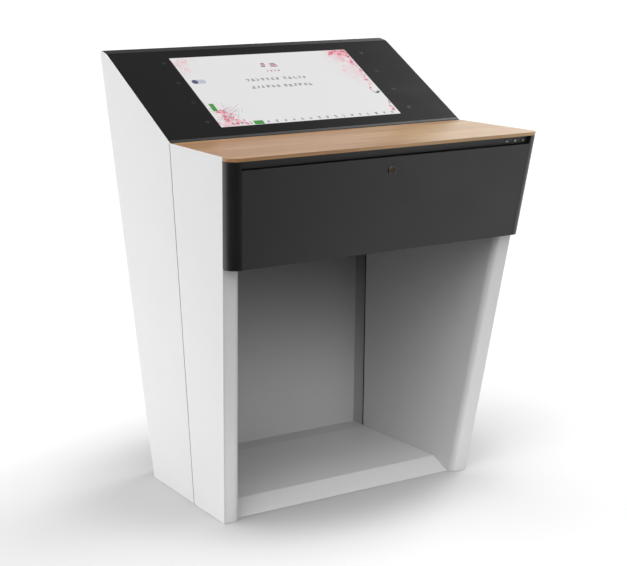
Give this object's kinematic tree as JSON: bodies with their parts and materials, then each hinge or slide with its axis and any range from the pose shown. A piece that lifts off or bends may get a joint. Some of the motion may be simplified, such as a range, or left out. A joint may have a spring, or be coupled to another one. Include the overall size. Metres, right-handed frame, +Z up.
{
  "type": "multimedia teaching lectern",
  "caption": "Free-standing teaching lectern: flared white steel body with open knee space, timber desk board, lockable keyboard drawer and sloping glass console with an inset touch display.",
  "frame": {"origin": "centre of the footprint box, on the floor plane under the glides", "axes": "+Z up, -Y towards the user who stands at the drawer, +X to the user's right"},
  "size_m": [0.875, 0.6746, 1.0932],
  "materials": {
    "white_paint": "satin powder coat",
    "black_paint": "satin fine-texture powder coat",
    "timber": "satin lacquered light oak veneer on board",
    "black_glass": "back-painted polished touch glass",
    "black_plastic": "matt moulded",
    "key_plastic": "satin moulded key",
    "zinc_steel": "zinc plated",
    "chrome_plate": "polished",
    "lock_brass": "nickel-free turned brass",
    "grey_paint": "satin",
    "glide_rubber": "moulded"
  },
  "bodies": {
    "cabinet": {"left_side_panel_rear": "white_paint", "left_side_panel_front": "white_paint", "right_side_panel_rear": "white_paint", "right_side_panel_front": "white_paint", "left_leg_shell": "white_paint", "right_leg_shell": "white_paint", "foot_plate": "white_paint", "knee_back_box": "white_paint", "back_frame": "white_paint", "left_groove_backing": "black_paint", "right_groove_backing": "black_paint", "left_corner_cap": "black_paint", "right_corner_cap": "black_paint", "housing_floor": "black_paint", "left_bay_side": "black_paint", "right_bay_side": "black_paint", "bay_back": "black_paint", "control_strip": "black_paint", "top_cap": "black_paint", "desk_board": "timber", "touch_glass": "black_glass", "display_module": "black_plastic", "console_frame": "black_plastic", "console_lip": "black_plastic", "mini_computer": "black_plastic", "power_inlet": "black_plastic", "left_foot_bar": "zinc_steel", "right_foot_bar": "zinc_steel", "desk_cross_rail": "zinc_steel", "left_slide_outer": "zinc_steel", "right_slide_outer": "zinc_steel", "lower_hinge_frame_leaf": "zinc_steel", "upper_hinge_frame_leaf": "zinc_steel", "power_supply": "zinc_steel", "equipment_shelf": "grey_paint", "control_unit": "grey_paint", "left_front_glide": "glide_rubber", "left_rear_glide": "glide_rubber", "right_front_glide": "glide_rubber", "right_rear_glide": "glide_rubber"},
    "drawer": {"drawer_front": "black_paint", "drawer_tray": "grey_paint", "left_slide_inner": "zinc_steel", "right_slide_inner": "zinc_steel", "drawer_lock_barrel": "chrome_plate"},
    "left_slide_stage": {"left_slide_middle": "zinc_steel"},
    "right_slide_stage": {"right_slide_middle": "zinc_steel"},
    "drawer_lock_cylinder": {"drawer_lock_plug": "lock_brass", "drawer_lock_cam": "zinc_steel"},
    "first_key": {"first_button": "key_plastic"},
    "second_key": {"second_button": "key_plastic"},
    "third_key": {"third_button": "key_plastic"},
    "door": {"rear_door": "white_paint", "lower_hinge_door_leaf": "zinc_steel", "upper_hinge_door_leaf": "zinc_steel", "fan_housing": "black_plastic", "door_lock_barrel": "chrome_plate"},
    "door_lock_cylinder": {"door_lock_plug": "lock_brass", "door_lock_cam": "zinc_steel"},
    "fan": {"fan_rotor": "black_plastic"}
  },
  "joints": [
    {"name": "drawer_slide", "type": "slide", "parent": "cabinet", "child": "drawer", "axis": [0, -1, 0], "range_m": [0, 0.32]},
    {"name": "left_slide_travel", "type": "slide", "parent": "cabinet", "child": "left_slide_stage", "axis": [0, -1, 0], "range_m": [0, 0.16]},
    {"name": "right_slide_travel", "type": "slide", "parent": "cabinet", "child": "right_slide_stage", "axis": [0, -1, 0], "range_m": [0, 0.16]},
    {"name": "drawer_lock_turn", "type": "hinge", "parent": "drawer", "child": "drawer_lock_cylinder", "pos_m": [0, -0.32804, 0.844], "axis": [0, -0.9884, -0.1519], "range_deg": [0, 90]},
    {"name": "first_press", "type": "slide", "parent": "cabinet", "child": "first_key", "axis": [0, 0.9884, 0.1519], "range_m": [0, 0.0015], "stiffness_N_per_m": 600, "springref_m": -0.0015},
    {"name": "second_press", "type": "slide", "parent": "cabinet", "child": "second_key", "axis": [0, 0.9884, 0.1519], "range_m": [0, 0.0015], "stiffness_N_per_m": 600, "springref_m": -0.0015},
    {"name": "third_press", "type": "slide", "parent": "cabinet", "child": "third_key", "axis": [0, 0.9884, 0.1519], "range_m": [0, 0.0015], "stiffness_N_per_m": 600, "springref_m": -0.0015},
    {"name": "door_hinge", "type": "hinge", "parent": "cabinet", "child": "door", "pos_m": [-0.321, 0.30724, 0.85532], "axis": [0, 0.0851, 0.9964], "range_deg": [0, 110]},
    {"name": "door_lock_turn", "type": "hinge", "parent": "door", "child": "door_lock_cylinder", "pos_m": [0.286, 0.30226, 0.85574], "axis": [0, 0.9964, -0.0851], "range_deg": [0, 90]},
    {"name": "fan_spin", "type": "hinge", "parent": "door", "child": "fan", "pos_m": [0.17, 0.30642, 0.93267], "axis": [0, 0.9964, -0.0851], "continuous": true}
  ],
  "couplings": [
    {"joint": "left_slide_travel", "follows": "drawer_slide", "ratio": 0.5},
    {"joint": "right_slide_travel", "follows": "drawer_slide", "ratio": 0.5}
  ]
}
